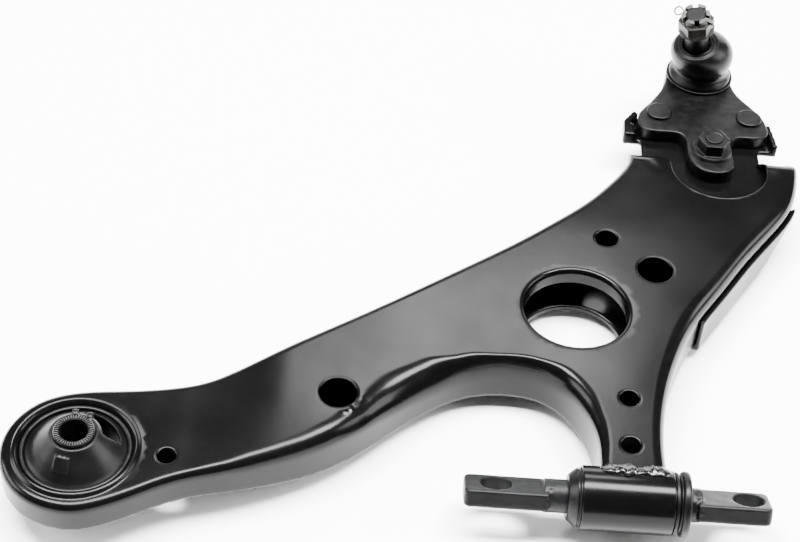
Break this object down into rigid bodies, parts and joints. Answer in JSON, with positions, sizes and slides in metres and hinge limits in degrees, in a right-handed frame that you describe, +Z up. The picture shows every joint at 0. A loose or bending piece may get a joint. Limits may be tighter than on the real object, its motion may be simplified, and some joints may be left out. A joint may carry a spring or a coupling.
{
  "type": "front lower control arm",
  "caption": "Hollow stamped lower control arm with a vertical rear bush, a bar-pin front bush and a bolted ball joint that ends in a tapered stud and castle nut.",
  "frame": {"origin": "on the rear bush's bore axis, in the plane of the front bush's pin axis", "axes": "+X forward along the inner pivot line to the front bush, +Y outboard to the ball joint, +Z up along the rear bush's bore"},
  "size_m": [0.4955, 0.4558, 0.1053],
  "materials": {
    "arm_paint": "gloss",
    "weld_paint": "gloss",
    "rubber": "satin",
    "dark_steel": "satin",
    "nut_steel": "satin",
    "wire_steel": "satin",
    "seat_plastic": "satin"
  },
  "bodies": {
    "arm": {"upper_shell": "arm_paint", "lower_shell": "arm_paint", "seam_weld": "weld_paint", "front_bush_tube": "arm_paint", "front_bush_weld": "weld_paint", "front_bush_rubber": "rubber", "front_bush_ring": "dark_steel", "rear_bush_outer_sleeve": "dark_steel", "rear_bush_rubber": "rubber", "ball_joint_housing": "dark_steel", "ball_joint_cap": "dark_steel", "dust_boot": "rubber", "boot_clamp": "wire_steel", "flange_studs": "dark_steel", "flange_stud_nuts": "dark_steel", "flange_bolt": "dark_steel", "flange_bolt_nut": "dark_steel"},
    "front_bar": {"front_bush_bar": "dark_steel"},
    "rear_sleeve": {"rear_bush_inner_sleeve": "dark_steel"},
    "joint_seat": {"ball_seat": "seat_plastic"},
    "joint_ring": {"boot_ring": "rubber"},
    "joint_stud": {"ball_stud": "dark_steel", "castle_nut": "nut_steel", "cotter_pin": "wire_steel"}
  },
  "joints": [
    {"name": "front_bush_twist", "type": "hinge", "parent": "arm", "child": "front_bar", "pos_m": [0.316, 0, 0], "axis": [1, 0, 0], "range_deg": [-25, 25], "stiffness_Nm_per_rad": 5},
    {"name": "rear_bush_rock", "type": "hinge", "parent": "arm", "child": "rear_sleeve", "pos_m": [0, 0, 0], "axis": [1, 0, 0], "range_deg": [-12, 12], "stiffness_Nm_per_rad": 10, "deforming": ["rear_bush_rubber"]},
    {"name": "ball_swing_x", "type": "hinge", "parent": "arm", "child": "joint_seat", "pos_m": [0.3896, 0.3873, 0.008], "axis": [1, 0, 0], "range_deg": [-25, 7]},
    {"name": "ball_swing_y", "type": "hinge", "parent": "joint_seat", "child": "joint_ring", "pos_m": [0.3896, 0.3873, 0.008], "axis": [0, 1, 0], "range_deg": [-5, 27], "deforming": ["dust_boot"]},
    {"name": "ball_spin", "type": "hinge", "parent": "joint_ring", "child": "joint_stud", "pos_m": [0.3896, 0.3873, 0.008], "axis": [-0.1885, -0.1536, 0.97], "continuous": true}
  ]
}
